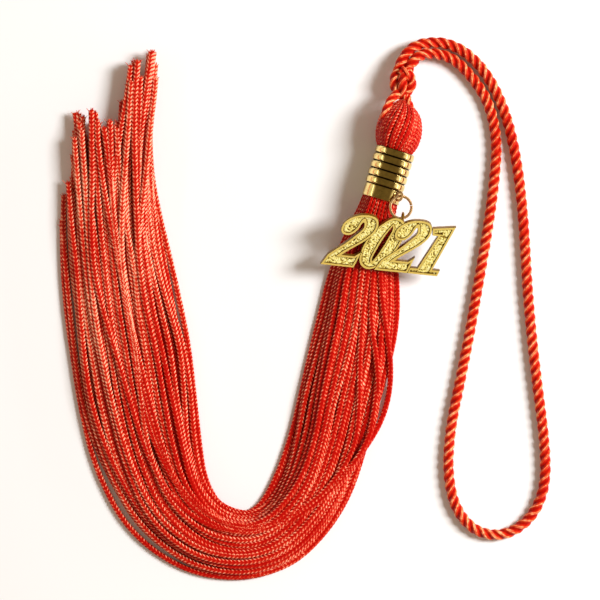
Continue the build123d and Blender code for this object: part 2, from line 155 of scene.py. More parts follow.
def tube_parts(line, travelled, half_width, half_height, relief, around, tone, rows, start_up=UP):
    """Points, faces, map and attributes of a tube. relief(travelled, angle) gives (height in mm, crest)."""
    side, top = side_and_top(line, start_up)
    angle = np.arange(around) * 2 * math.pi / around
    height, crest = relief(travelled[:, None], angle[None, :])
    wide = np.broadcast_to(np.asarray(half_width, float), travelled.shape)[:, None] + height
    tall = np.broadcast_to(np.asarray(half_height, float), travelled.shape)[:, None] + height
    out_side = (wide * np.sin(angle))[:, :, None] * side[:, None, :]
    out_top = (tall * np.cos(angle))[:, :, None] * top[:, None, :]
    points = (line[:, None, :] + out_side + out_top).reshape(-1, 3)
    count = len(line)
    ring = np.arange(count - 1)[:, None] * around
    turns = np.arange(around)
    nexts = (turns + 1) % around
    next_ring = ring + around
    faces = np.stack([ring + turns, ring + nexts, next_ring + nexts, next_ring + turns], -1).reshape(-1, 4)
    per_row = math.ceil((count - 1) / rows)
    run = np.repeat(np.arange(count - 1), around)
    turn = np.tile(turns, count - 1)
    row, place = run // per_row, run % per_row
    left, right = place / per_row, (place + 1) / per_row
    row_share = 1 - 2 * MAP_MARGIN
    low = (row + MAP_MARGIN + row_share * turn / around) / rows
    high = (row + MAP_MARGIN + row_share * (turn + 1) / around) / rows
    corners = np.stack([left, low, left, high, right, high, right, low], -1).reshape(-1, 2)
    # crest sets the finish's painted highlight and painted shade, and along sets how far the tails are
    # painted paler
    values = {
        "crest": np.broadcast_to(crest, (count, around)).ravel(),
        "along": np.repeat(travelled, around),
        "tone": np.full(count * around, float(tone)),
    }
    points = np.concatenate([points, line[:1], line[-1:]])
    first, last = count * around, count * around + 1
    start_cap = np.stack([nexts, turns, np.full(around, first)], -1)
    base = (count - 1) * around
    end_cap = np.stack([base + turns, base + nexts, np.full(around, last)], -1)
    caps = np.concatenate([start_cap, end_cap])
    at_ends = {"crest": (0.3, 0.3), "along": (travelled[0], travelled[-1]), "tone": (tone, tone)}
    for key, ends in at_ends.items():
        values[key] = np.concatenate([values[key], ends])
    cap_spot = np.tile(np.array([[0.002, 0.002], [0.004, 0.002], [0.003, 0.004]]), (len(caps), 1)) / rows
    return points, faces, caps, np.concatenate([corners, cap_spot]), values


def make_mesh(name, parts):
    """One object from several sets of tube parts, given in plan millimetres."""
    offset = 0
    points, loops, sizes, corners, values = [], [], [], [], {"crest": [], "along": [], "tone": []}
    for tube_points, quads, triangles, tube_corners, tube_values in parts:
        points.append(tube_points)
        loops += [(quads + offset).ravel(), (triangles + offset).ravel()]
        sizes += [np.full(len(quads), 4), np.full(len(triangles), 3)]
        corners.append(tube_corners)
        for key in values:
            values[key].append(tube_values[key])
        offset += len(tube_points)
    points, loops, sizes = to_frame(np.concatenate(points)), np.concatenate(loops), np.concatenate(sizes)
    mesh = bpy.data.meshes.new(name)
    mesh.vertices.add(len(points))
    mesh.vertices.foreach_set("co", points.ravel())
    mesh.loops.add(len(loops))
    mesh.loops.foreach_set("vertex_index", loops.astype(np.int32))
    mesh.polygons.add(len(sizes))
    mesh.polygons.foreach_set("loop_start", np.concatenate([[0], np.cumsum(sizes)[:-1]]).astype(np.int32))
    mesh.update(calc_edges=True)
    mesh.validate()
    tube_map = mesh.uv_layers.new(name="OFBake")
    tube_map.data.foreach_set("uv", np.concatenate(corners).astype(np.float32).ravel())
    for key, lists in values.items():
        carried = mesh.attributes.new(key, "FLOAT", "POINT")
        carried.data.foreach_set("value", np.concatenate(lists).astype(np.float32))
    mesh.polygons.foreach_set("use_smooth", np.ones(len(sizes), bool))
    thing = bpy.data.objects.new(name, mesh)
    bpy.context.scene.collection.objects.link(thing)
    return thing


# %% [markdown]
# Chainette is a tiny knitted tube. From any side it shows two columns of slanting stitches that meet in a
# row of Vs, with a shallow groove between the columns. The relief is a ripple that runs along the cord and
# leans back on both sides of each groove. The twisted cord is three plies, and its outline is three
# overlapping circles that turn right-handed as they go along, with the fine ridges of the yarns in each
# ply. Loose threads are plain.

# %% The two reliefs
STITCH = 1.0
STITCH_HEIGHT = 0.17
STITCH_LEAN = 2.1
PLY_PITCH = 7.2
PLY_OFFSET = 0.45  # share of the cord's radius at which a ply's middle lies
YARN_HEIGHT = 0.06
YARN_COUNT = 15
YARN_SLANT = 1.4


def chainette(scale, start):
    """The stitches of a knitted cord, two columns on each side. start is the place in the pattern."""

    def relief(travelled, angle):
        turn = angle / math.pi
        column = 1 - np.abs((turn % 0.5) - 0.25) * 4  # 1 in the middle of a column of stitches, 0 in a groove
        lean = np.abs(((turn + 0.5) % 1.0) - 0.5)
        ripple = 0.5 + 0.5 * np.cos(2 * math.pi * (travelled / (STITCH * scale) + start - STITCH_LEAN * lean))
        # The crest also sets the colour: the finish paints a highlight on the stitch tops and shade in the
        # grooves.
        crest = ripple**1.7 * np.clip(column * 1.5, 0, 1)
        return (crest - 0.5) * STITCH_HEIGHT * scale, crest

    return relief


def three_ply(radius, start):
    """Three plies twisted together, turned by the angle start where the cord begins."""
    middle = PLY_OFFSET * radius
    ply = radius - middle

    def relief(travelled, angle):
        turned = angle - 2 * math.pi * travelled / PLY_PITCH - start
        from_ply = (turned + math.pi / 3) % (2 * math.pi / 3) - math.pi / 3
        reach = middle * np.cos(from_ply) + np.sqrt(ply**2 - (middle * np.sin(from_ply)) ** 2)
        deepest = middle * math.cos(math.pi / 3) + math.sqrt(ply**2 - (middle * math.sin(math.pi / 3)) ** 2)
        # The crest also sets the colour: the finish paints a highlight on the ply tops and shade between the
        # plies.
        crest = ((reach - deepest) / (radius - deepest)) ** 2.1
        yarns = 0.5 + 0.5 * np.cos(from_ply * YARN_COUNT + travelled * YARN_SLANT)
        return reach - radius + YARN_HEIGHT * yarns, crest * (0.5 + 0.55 * yarns)

    return relief


def plain(crest):
    """No relief at all, with the finish at one level."""

    def relief(travelled, angle):
        flat = np.zeros(np.broadcast(travelled, angle).shape)
        return flat, flat + crest

    return relief


# %% [markdown]
# The fringe starts as a tight hexagon of ninety tails in the mouth of the band and spreads out into a flat
# pile as it goes along. The stations give its middle line and half width. A tail keeps its own place in the
# hexagon, so that its route is that place carried along the stations.

# %% Fringe stations
STRAND_PITCH = 0.855
STRAND_RINGS = 5
STRAND_BORE = 0.75
ROW_RISE = STRAND_PITCH * math.sin(math.radians(60))
NECK_HALF_WIDTH = STRAND_RINGS * STRAND_PITCH + STRAND_BORE / 2
HEAD_HEIGHT = 5.85
NECK_LIFT = HEAD_HEIGHT - (STRAND_RINGS * ROW_RISE + STRAND_BORE / 2)
BAND_TILT = math.radians(17.4)
band_axis = np.array([math.sin(BAND_TILT), math.cos(BAND_TILT), 0.0])
band_side = np.array([band_axis[1], -band_axis[0], 0.0])
MOUTH = np.array([20.0, 25.0, HEAD_HEIGHT])
FRINGE_STATIONS = [
    (19.25, 22.6, 4.75),
    (17.3, 15.2, 6.6),
    (15.8, 5.5, 9.1),
    (14.8, -4.5, 10.4),
    (12.6, -15.5, 10.9),
    (9.9, -26.0, 10.5),
    (7.6, -36.0, 10.0),
    (3.9, -46.5, 9.6),
    (-1.6, -54.9, 9.1),
    (-7.2, -59.6, 9.0),
    (-14.8, -61.6, 9.2),
    (-24.3, -59.2, 10.5),
    (-33.0, -51.2, 12.4),
    (-38.2, -38.9, 14.4),
    (-41.2, -25.5, 15.9),
    (-43.0, -13.5, 16.1),
    (-44.9, -3.0, 15.2),
    (-46.4, 8.0, 14.2),
    (-47.2, 19.0, 13.2),
    (-47.3, 30.5, 12.0),
    (-46.9, 42.0, 11.0),
    (-46.0, 53.0, 10.2),
    (-44.7, 64.5, 9.6),
    (-43.1, 76.0, 9.6),
    (-41.3, 88.0, 9.6),
]
FRINGE_STRAIGHT = 2.5
FRINGE_DROP = 14.0


def fringe_line():
    """The fringe's middle line: point, sideways direction, spread, flatness, lift, lies flat or not, run."""
    start = MOUTH - band_axis * 0.1
    stations = [(start[0], start[1], NECK_HALF_WIDTH)] + FRINGE_STATIONS
    plan = [np.array([x, y, 0.0]) for x, y, _ in stations]
    line, run = [], 0.0
    for index, (_, _, half_width) in enumerate(stations):
        if index:
            run += np.linalg.norm(plan[index] - plan[index - 1])
        side = band_side
        if index > 1:
            here, after = plan[index], plan[min(index + 1, len(plan) - 1)]
            heading = (here - plan[index - 1]) / np.linalg.norm(here - plan[index - 1])
            if index < len(stations) - 1:
                heading = heading + (after - here) / np.linalg.norm(after - here)
            side = np.array([-heading[1], heading[0], 0.0]) / np.linalg.norm(heading)
        spread = max(1.0, half_width / NECK_HALF_WIDTH)
        closest = math.sqrt(max(0.0, 1 - (spread / 2) ** 2)) / math.sin(math.radians(60))
        lift = NECK_LIFT * min(1.0, max(0.0, 1 - (run - FRINGE_STRAIGHT) / FRINGE_DROP))
        line.append((plan[index], side, spread, max(0.6, closest), lift, spread >= 1.9, run))
    return line


def strand_places():
    """Places in the neck, two to a strand: the front tail and the back tail of one folded strand."""
    places = []
    for row in range(STRAND_RINGS, 0, -1):
        count = 2 * STRAND_RINGS + 1 - row
        for number in range(count):
            across = (number - (count - 1) / 2) * STRAND_PITCH
            places.append([(across, row), (across, -row)])
    for number in range(STRAND_RINGS, 0, -1):
        places.append([(-number * STRAND_PITCH, 0), (number * STRAND_PITCH, 0)])
    return places


def tail_length(number, across):
    """How long the CAD model makes a tail: longer on the outside of the bend, and ragged by turns."""
    golden = (math.sqrt(5) - 1) / 2
    outer = max(0.0, across / (STRAND_RINGS * STRAND_PITCH))
    return 213.0 + 9.0 * outer + 6.0 * (2 * ((number * golden) % 1) - 1)


# %% [markdown]
# Combed tails would lie like ruled lines. Real ones wander: each drifts a little from side to side, and the
# last part of each has its own mind. The wander starts at nothing where the band holds the tails. It comes
# from a seeded source of chance, so that the tassel is the same every time it is made. A few tails stray
# right across the others, and what lies out beyond the side of the pile sinks to the table.

# %% Routes of the tails
chance = np.random.default_rng(2021)
SWAY = 0.6
TIP_DRIFT = 1.5
TIP_REACH = 40.0
OUTER_LEAN = 4.5  # how far the outer tails lean outwards at their tips
SINK_BEYOND = 2.5  # how fast a tail sinks as it leaves the side of the pile
# a few tails cross over the others: (how far along, how far aside) for those strands
STRAYS = {
    6: [(0, 0), (26, 0), (44, 6.3), (54, 6.9), (64, 3), (84, -6), (100, -9), (130, -10), (240, -6)],
    5: [(0, 0), (30, 0), (48, 6.6), (58, 7.2), (70, 2.5), (90, -5.5), (108, -8), (140, -7), (240, -4)],
    13: [(0, 0), (34, 0), (52, 3.2), (64, 3.4), (78, -2), (98, -8), (130, -9), (240, -5)],
    4: [(0, 0), (34, 0), (58, 6), (68, 5), (86, -2.5), (106, -6), (140, -5), (240, 2)],
    2: [(0, 0), (100, 0), (130, 3), (160, 7), (185, 9), (240, 7)],
    9: [(0, 0), (120, 0), (160, -2), (186, -3.5), (240, -3.5)],
}
NO_STRAY = [(0, 0), (240, 0)]
middle_line = fringe_line()


def tail_route(across, row, length, stray):
    """A tail's route from inside the band to past its tip, which starts to drift near the given length."""
    full_height = STRAND_RINGS * ROW_RISE
    tallest = min(1.0, 2 * (1 - abs(across) / (STRAND_RINGS * STRAND_PITCH))) * full_height
    phases = chance.uniform(0, 2 * math.pi, 3)
    sway = SWAY * chance.uniform(0.5, 1.4)
    drift = np.clip(chance.normal(0.0, TIP_DRIFT), -3.0, 3.0)
    edge = across / (STRAND_RINGS * STRAND_PITCH)
    drift += OUTER_LEAN * np.clip((edge - 0.05) / 0.4, 0.0, 1.0)
    if edge < -0.7:
        drift = -0.2 * abs(drift)  # those at the inner edge stay in line
    route = []
    for centre, side, spread, flatness, lift, lies_flat, travelled in middle_line:
        height = row * ROW_RISE * flatness + STRAND_BORE / 2 + lift
        height += (tallest if lies_flat else full_height) * flatness
        loose = min(1.0, travelled / 60.0)
        aside = sway * math.sin(travelled / 17.0 + phases[0])
        aside += 0.6 * sway * math.sin(travelled / 8.3 + phases[1])
        to_tip = max(0.0, 1 - (length - travelled) / TIP_REACH)
        aside = aside * loose + drift * min(1.3, to_tip) ** 1.5
        aside += np.interp(travelled, [at for at, _ in stray], [by for _, by in stray])
        beyond = abs(across * spread + aside) - STRAND_RINGS * STRAND_PITCH * spread
        height = max(STRAND_BORE, height - SINK_BEYOND * max(0.0, beyond + 0.5))
        route.append(centre + side * (across * spread + aside) + UP * height)
    inside = MOUTH + band_axis * 2.5 + band_side * (across * 0.86) + UP * (row * ROW_RISE * 0.86)
    return [inside] + route


# %% [markdown]
# A tail is squeezed thin in the band and swells to its own thickness once it is free, a little wider than
# it is tall because it lies on a table. All tails run on past their tips at first and are then cut where
# they cross one ragged edge, as scissors would cut them. Most are cut close to it, and a few stop well
# short.

# %% One tail
TAIL_WIDTH = 1.52
TAIL_HEIGHT = 1.0
ROOM_FILLED = 0.8  # share of the free room that a squeezed tail fills
FIRST_CUT = 150.0  # no tail is cut before this far along
CUT_SHORT = 9.0  # how far short of the edge the shortest tail is cut
LOW_CUT = 3.0  # how much shorter the tails in the lower half are
# the cut ends make ragged steps: at each place across the table, how far up the longest tails reach
CUT_EDGE = [
    (-62.0, 17.0), (-59.9, 18.3), (-59.7, 23.7), (-58.6, 29.2), (-57.2, 29.6), (-57.0, 38.6), (-56.4, 46.8),
    (-54.4, 46.0), (-54.2, 44.2), (-52.6, 47.4), (-51.0, 47.4), (-50.6, 43.8), (-47.0, 44.7), (-45.0, 45.5),
    (-44.8, 52.7), (-43.2, 53.2), (-43.0, 59.7), (-40.0, 59.7), (-39.8, 56.0), (-38.9, 56.5), (-38.7, 62.0),
    (-34.9, 62.0), (-33.4, 40.0), (-32.2, 14.5),
]
spread_at = np.array([station[2] for station in middle_line])
run_at = np.array([station[6] for station in middle_line])


def tail_parts(across, row, number, step, around, stray):
    """One tail: its tube, its line and how far along each point of the line is."""
    route = tail_route(across, row, tail_length(number, across), stray)
    line, travelled = smooth_line(route, step)
    edge = np.interp(line[:, 0], [x for x, _ in CUT_EDGE], [y for _, y in CUT_EDGE])
    short = CUT_SHORT * chance.uniform() ** 3
    past = (travelled > FIRST_CUT) & (line[:, 1] > edge - short - (0.0 if row > 0 else LOW_CUT))
    last = int(np.argmax(past)) if past.any() else len(line) - 1
    line, travelled = line[: last + 1], travelled[: last + 1]
    room = ROOM_FILLED * np.interp(travelled - 2.6, run_at, spread_at)
    half_width = np.minimum(TAIL_WIDTH, room) / 2
    half_height = np.minimum(TAIL_HEIGHT, room) / 2
    tone = chance.uniform(0.0, 1.0)
    relief = chainette(1.0, chance.uniform())
    parts = tube_parts(line, travelled, half_width, half_height, relief, around, tone, rows=7)
    return parts, line, travelled


# %% [markdown]
# The front tail of each strand is made finely, as those lie on top, and each is a piece of its own that
# stands for its CAD strand. The back tails lie under them, so they share a few meshes with longer steps. A
# limp cord is declared with its route, and only so many can be.

# %% All the tails
fine_step, rough_step = ((0.23, 0.46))
STRANDS_PER_MESH = 8
tips = []
strand_pieces = []
under_parts = {}
number = 0
for index, places in enumerate(strand_places(), start=1):
    for back, (across, row) in enumerate(places):
        number += 1
        fine = not back or row == 0
        stray = NO_STRAY if back else STRAYS.get(index, NO_STRAY)
        step, around = (fine_step, 22) if fine else (rough_step, 12)
        parts, line, travelled = tail_parts(across, row, number, step, around, stray)
        tips.append((line[-1], line[-1] - line[-4], row))
        if back:
            under_parts.setdefault(index // STRANDS_PER_MESH, []).append(parts)
            continue
        name = f"strand_tail_{index:02d}"
        tail = make_mesh(name, [parts])
        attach(tail, "tassel")
        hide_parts(f"strand_{index:02d}")
        strand_pieces.append(tail)
for index, parts in sorted(under_parts.items()):
    tail = make_mesh(f"under_tails_{index + 1}", parts)
    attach(tail, "tassel")
    strand_pieces.append(tail)
print("tails made:", number, "in", len(strand_pieces), "pieces")

# %% [markdown]
# Cut chainette frays: the stitches at the very end let go and the threads spread into a small brush. A
# brush is a handful of thin tapering threads that leave the last ring at different slants.

# %% Frayed ends
THREADS = 14
THREAD_LENGTH = 1.5
THREAD_HALF = 0.13
FRAYED_ROWS = -2  # the rows of tails below this one are hidden
fray_parts = []
for tip, heading, row in tips:
    if row < FRAYED_ROWS:
        continue
    heading = heading / np.linalg.norm(heading)
    across_tip = np.cross(heading, UP)
    for _ in range(THREADS):
        slant = np.clip(chance.normal(0.0, 0.3), -0.6, 0.6)
        rise = abs(chance.normal(0.0, 0.15))
        reach = THREAD_LENGTH * chance.uniform(0.45, 1.0)
        offset = across_tip * chance.uniform(-0.5, 0.5) + UP * chance.uniform(-0.25, 0.3)
        steps = np.linspace(0.0, 1.0, 6)[:, None]
        bent = heading + across_tip * slant * (0.4 + steps) + UP * rise * (0.3 + steps)
        thread = tip + offset - heading * 0.8 + bent * steps * reach
        thread[:, 2] = np.maximum(thread[:, 2], 0.15)
        taper = THREAD_HALF * (1.0 - 0.6 * steps[:, 0])
        along = steps[:, 0] * reach
        fray_parts.append(tube_parts(thread, along, taper, taper, plain(0.55), 4, chance.uniform(), rows=1))
frayed_ends = make_mesh("frayed_ends", fray_parts)
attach(frayed_ends, "tassel")
print("frayed threads:", len(fray_parts))

# %% [markdown]
# The hanging cord leaves the top of the knot, runs round one long open loop on the table and comes back to
# the knot beside its own start. Its route is the same list of points as the CAD tube's, with the height of
# each above the table.

# %% Hanging cord
CORD_DIAMETER = 2.7
CORD_AROUND = 36
CORD_ON_TABLE = CORD_DIAMETER / 2 + 0.05
CORD_ROUTE = [
    (25.7, 60.4, 3.0),
    (28.0, 63.2, 2.2),
    (31.8, 64.5, 1.2),
    (36.4, 64.5, 0.5),
    (41.4, 62.4, 0.1),
    (46.5, 57.3, 0.0),
    (50.6, 49.6, 0.0),
    (53.3, 40.5, 0.0),
    (55.2, 29.0, 0.0),
    (56.3, 16.0, 0.0),
    (57.0, 3.0, 0.0),
    (58.2, -10.5, 0.0),
    (59.7, -23.0, 0.0),
    (61.4, -36.0, 0.0),
    (61.6, -46.6, 0.0),
    (58.3, -54.6, 0.0),
    (51.6, -59.2, 0.0),
    (44.2, -58.4, 0.0),
    (38.9, -52.6, 0.0),
    (36.9, -43.2, 0.0),
    (37.7, -32.0, 0.0),
    (40.1, -20.5, 0.0),
    (42.5, -8.5, 0.0),
    (44.6, 3.5, 0.0),
    (46.8, 16.0, 0.0),
    (48.6, 28.5, 0.0),
    (49.5, 39.5, 0.0),
    (47.6, 49.0, 0.0),
    (43.6, 55.4, 0.1),
    (38.6, 60.5, 0.4),
    (33.6, 61.9, 1.4),
    (29.9, 61.3, 2.6),
    (28.0, 59.3, 3.3),
]
knot_top = KNOT_BASE + knot_axis * KNOT_LENGTH
knot_mouth = knot_top - knot_axis * 1.2
route = [knot_mouth - knot_side * 1.3, knot_mouth - knot_side * 1.3 + knot_axis * 1.2]
route += [np.array([x, y, CORD_ON_TABLE + rise]) for x, y, rise in CORD_ROUTE]
route += [knot_mouth + knot_side * 1.1 + knot_axis * 1.2, knot_mouth + knot_side * 1.1]
cord_line, cord_travelled = smooth_line(route, fine_step)
cord_radius = CORD_DIAMETER / 2
plies = three_ply(cord_radius, 0.0)
cord_parts = tube_parts(cord_line, cord_travelled, cord_radius, cord_radius, plies, CORD_AROUND, 0.5, 6)
hanging_cord = make_mesh("hanging_cord_plies", [cord_parts])
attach(hanging_cord, "tassel")
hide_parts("hanging_cord")
print("hanging cord, mm:", round(float(cord_travelled[-1]), 1))

# %% [markdown]
# The knot is an overhand knot in the doubled cord. From above, one leg curls down the left, the other comes
# straight down the middle and on top, and the turn that locks them bulges out on the right and goes round
# the back. Each is its own length of twisted cord through points given across, along and above the knot's
# own axis, so that they lie on each other as the real turns do.

# %% Knot
KNOT_CORD = 1.18  # radius of the cord where the knot squeezes it


def on_knot(across, along, above):
    """A point on the plan from its place across, along and above the knot's axis."""
    return KNOT_BASE + knot_axis * along + knot_side * across + UP * above


KNOT_TURNS = [
    [
        (-1.2, 6.6, 0.2), (-1.9, 5.4, 0.5), (-2.25, 3.9, 0.6),
        (-1.95, 2.3, 0.7), (-1.1, 1.0, 0.4), (-0.9, -0.6, 0.2),
    ],
    [(1.1, 6.6, 0.4), (0.6, 5.6, 1.5), (-0.1, 4.2, 2.0), (0.0, 2.6, 1.9), (0.4, 1.0, 1.2), (0.6, -0.6, 0.4)],
    [
        (-0.6, 6.5, 1.3), (0.7, 6.1, 1.8), (1.9, 5.2, 1.4), (2.4, 3.7, 1.1), (2.0, 2.0, 1.1),
        (0.9, 0.8, 0.5), (-0.7, 1.2, -1.1), (-1.8, 2.8, -1.5), (-1.7, 4.6, -1.3), (-0.3, 5.8, -1.1),
    ],
    [(1.3, 5.8, -0.4), (1.8, 4.4, -1.2), (1.1, 2.6, -1.9), (-0.4, 1.6, -1.9), (-0.2, 0.2, -1.2)],
]
knot_parts = []
for start, turn in enumerate(KNOT_TURNS):
    line, travelled = smooth_line([on_knot(*point) for point in turn], 0.2)
    relief = three_ply(KNOT_CORD, 1.3 * start)
    knot_parts.append(tube_parts(line, travelled, KNOT_CORD, KNOT_CORD, relief, CORD_AROUND, 0.5, 2))
knot = make_mesh("overhand_knot", knot_parts)
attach(knot, "tassel")
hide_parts("cord_knot")

# %% [markdown]
# The head is where every strand is folded over the short end of the cord. The folds come up out of the
# band, swell over the loop and close in round it at the top, so it is built from tapering chainette strands
# that run like the lines on a globe. They twist a little round the head. A plain bulb just under them, in the
# darkest red as painted shade, stands for the strands inside, so that no light shows between the folds.

# %% Head
HEAD_TILT = math.radians(9.0)
BAND_LENGTH = 13.0
HEAD_GAP = 0.65
HEAD_LENGTH = 11.0
HEAD_FOLDS = 30
HEAD_TWIST = math.radians(30.0)
head_axis = np.array([math.sin(HEAD_TILT), math.cos(HEAD_TILT), 0.0])
head_side = np.array([head_axis[1], -head_axis[0], 0.0])
head_base = MOUTH + band_axis * BAND_LENGTH + head_axis * HEAD_GAP
HEAD_LOW, HEAD_TOP = -1.2, 11.8
HEAD_PROFILE = [
    (HEAD_LOW, 4.2), (0.0, 5.0), (1.5, 5.6), (3.8, 5.95), (6.2, 5.75),
    (8.4, 4.95), (10.0, 3.75), (11.0, 2.6), (HEAD_TOP, 1.5),
]
FOLD_THICKNESS = 0.55
BULB_SINK = 0.75
profile_along = np.array([along for along, _ in HEAD_PROFILE])
profile_radius = np.array([radius for _, radius in HEAD_PROFILE])


def on_head(along, angle, sink):
    """A point on the head: along its axis, round it, and sunk that far below its outside."""
    radius = np.interp(along, profile_along, profile_radius) - sink
    out = head_side * radius * math.sin(angle) + UP * radius * math.cos(angle)
    return head_base + head_axis * along + out


head_parts = []
for fold in range(HEAD_FOLDS):
    angle = 2 * math.pi * (fold + chance.uniform(-0.18, 0.18)) / HEAD_FOLDS
    sink = FOLD_THICKNESS + chance.uniform(-0.08, 0.12)
    turn = HEAD_TWIST * chance.uniform(0.8, 1.2)
    heights = np.linspace(HEAD_LOW, HEAD_TOP, 9)
    route = [on_head(along, angle + turn * (along / HEAD_LENGTH - 0.4), sink) for along in heights]
    line, travelled = smooth_line(route, fine_step)
    along = (line - head_base) @ head_axis
    radius = np.interp(along, profile_along, profile_radius)
    half_width = np.clip(1.12 * math.pi * (radius - 0.5) / HEAD_FOLDS, 0.22, 0.62)
    start_up = UP * math.cos(angle) + head_side * math.sin(angle)
    relief = chainette(0.9, chance.uniform())
    half_height = np.minimum(half_width, FOLD_THICKNESS)
    tone = chance.uniform()
    head_parts.append(tube_parts(line, travelled, half_width, half_height, relief, 16, tone, 2, start_up))
bulb_along = np.linspace(HEAD_LOW, HEAD_TOP - 0.2, 40)
bulb_line = np.stack([head_base + head_axis * along for along in bulb_along])
bulb_radius = np.interp(bulb_along, profile_along, profile_radius) - BULB_SINK
# the bulb's crest of 0 gives it the darkest red: painted shade between the folds
head_parts.append(tube_parts(bulb_line, bulb_along, bulb_radius, bulb_radius, plain(0.0), 40, 0.2, 1))
head = make_mesh("head_folds", head_parts)
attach(head, "tassel")
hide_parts("head_loops")
print("folds on the head:", HEAD_FOLDS)

# %% [markdown]
# Between the knot and the head, the two legs of the short loop show: one lies over the head's left shoulder
# and goes in under the folds there, and the other drops straight in at the top.

# %% Loop legs
LEG_RADIUS = 1.08
LEFT_LEG = [
    (25.3, 52.3, 5.3), (23.8, 51.3, 6.4), (22.4, 49.5, 7.4),
    (21.4, 47.2, 8.3), (20.8, 44.8, 8.4), (20.9, 42.4, 7.2),
]
RIGHT_LEG = [(25.9, 52.0, 5.0), (26.7, 50.4, 5.8), (27.2, 48.7, 6.6), (27.4, 47.0, 6.4), (27.2, 45.2, 5.4)]
leg_parts = []
for start, leg in enumerate((LEFT_LEG, RIGHT_LEG)):
    line, travelled = smooth_line(leg, 0.2)
    plies = three_ply(LEG_RADIUS, start)
    leg_parts.append(tube_parts(line, travelled, LEG_RADIUS, LEG_RADIUS, plies, CORD_AROUND, 0.5, 2))
legs = make_mesh("loop_legs", leg_parts)
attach(legs, "tassel")
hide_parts("skein_loop")

# %% [markdown]
# The band is a short piece of brass tube with rolled ribs, plated gold. Turned parts are made by spinning a
# profile round an axis. Each rib is nearly flat on top with rounded shoulders, and it is the shoulders that
# catch the two bright lines, so the profile rounds them with small arcs.

# %% Band
BAND_BORE = 4.25
BAND_SKIRT = 4.75
SKIRT_LENGTH = 3.3
RIBS = 5
RIB_CREST = 5.0
GROOVE = 4.5
SHOULDER = 0.62
BAND_AROUND = 160
rib_pitch = (BAND_LENGTH - SKIRT_LENGTH) / RIBS


def shoulder(degrees):
    """How far out and how far in from the rib's side the arc of a shoulder is."""
    turn = math.radians(degrees)
    return GROOVE + (RIB_CREST - GROOVE) * math.sin(turn), SHOULDER * (1 - math.cos(turn))


def band_profile():
    """(radius, height) points from the bore's lower edge, up the outside and back down the bore."""
    profile = [(BAND_BORE, 0.12), (BAND_BORE + 0.1, 0.0), (BAND_SKIRT - 0.16, 0.0), (BAND_SKIRT - 0.04, 0.05)]
    profile += [(BAND_SKIRT, 0.18), (BAND_SKIRT, 1.5), (BAND_SKIRT, SKIRT_LENGTH - 0.4)]
    profile.append((BAND_SKIRT - 0.05, SKIRT_LENGTH - 0.12))
    for rib in range(RIBS):
        start = SKIRT_LENGTH + rib * rib_pitch
        profile.append((GROOVE, start))
        for radius, inward in map(shoulder, np.linspace(15, 90, 6)):
            profile.append((radius, start + inward))
        profile.append((RIB_CREST + 0.01, start + rib_pitch / 2))
        for radius, inward in map(shoulder, np.linspace(90, 15, 6)):
            profile.append((radius, start + rib_pitch - inward))
    profile += [(GROOVE, BAND_LENGTH - 0.02), (BAND_BORE + 0.08, BAND_LENGTH), (BAND_BORE, BAND_LENGTH - 0.1)]
    return np.array(profile)


def spun(name, profile, around, base, axis, side):
    """A closed profile spun round an axis."""
    angle = np.arange(around) * 2 * math.pi / around
    third = np.cross(axis, side)
    ring = side * np.cos(angle)[:, None] + third * np.sin(angle)[:, None]
    points = base + profile[:, None, 1:] * axis + profile[:, None, :1] * ring[None, :, :]
    count = len(profile)
    row = np.arange(count)[:, None] * around
    next_row = (np.arange(count)[:, None] + 1) % count * around
    step = np.arange(around)[None, :]
    after = (step + 1) % around
    faces = np.stack([row + step, row + after, next_row + after, next_row + step], -1).reshape(-1, 4)
    mesh = bpy.data.meshes.new(name)
    mesh.from_pydata(to_frame(points.reshape(-1, 3)).tolist(), [], faces.tolist())
    mesh.validate()
    mesh.polygons.foreach_set("use_smooth", np.ones(len(mesh.polygons), bool))
    thing = bpy.data.objects.new(name, mesh)
    bpy.context.scene.collection.objects.link(thing)
    return thing


band = spun("ribbed_band", band_profile(), BAND_AROUND, MOUTH, band_axis, band_side)
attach(band, "tassel")
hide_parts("band")
print("band ribs:", RIBS, "at a pitch of", round(rib_pitch, 2), "mm")

# %% [markdown]
# The charm is a casting: four flat numerals with a polished rim round each, and a face between the rims
# that is stippled so that it glitters. The CAD charm has the right numerals and rims and stays as it is,
# with its sharp edges rounded by a modifier. It lies a little tilted, so its own directions are measured
# first: which way its face looks is the average of all that looks up.

# %% Charm
RIM_HEIGHT = 0.4
EDGE_ROUND = 0.1
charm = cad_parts["year_charm"]
charm_points = np.array([v.co for v in charm.data.vertices])
charm_normals = np.empty(len(charm.data.polygons) * 3)
charm.data.polygons.foreach_get("normal", charm_normals)
charm_normals = charm_normals.reshape(-1, 3)
charm_areas = np.empty(len(charm.data.polygons))
charm.data.polygons.foreach_get("area", charm_areas)
upward = charm_normals[:, 2] > 0.85
face_normal = (charm_normals[upward] * charm_areas[upward, None]).sum(0)
face_normal /= np.linalg.norm(face_normal)
charm_along = np.cross((0.0, 1.0, 0.0), face_normal)
charm_along /= np.linalg.norm(charm_along)
charm_rise = np.cross(face_normal, charm_along)
flat = charm_points @ np.stack([charm_along, charm_rise, face_normal], 1)
low, high = flat.min(0), flat.max(0)
rim_level = high[2]
face_level = rim_level - RIM_HEIGHT * MM
rounding = charm.modifiers.new("rounded edges", "BEVEL")
rounding.width = EDGE_ROUND * MM
rounding.segments = 2
rounding.limit_method = "ANGLE"
rounding.angle_limit = math.radians(40)
print("charm, mm:", ((high - low) / MM).round(1))

# %% [markdown]
# The stippling is a thin sheet laid on the charm's faces. Rays shot down at the charm, one at each point of
# a fine grid, find whether a face, a rim or neither lies there.

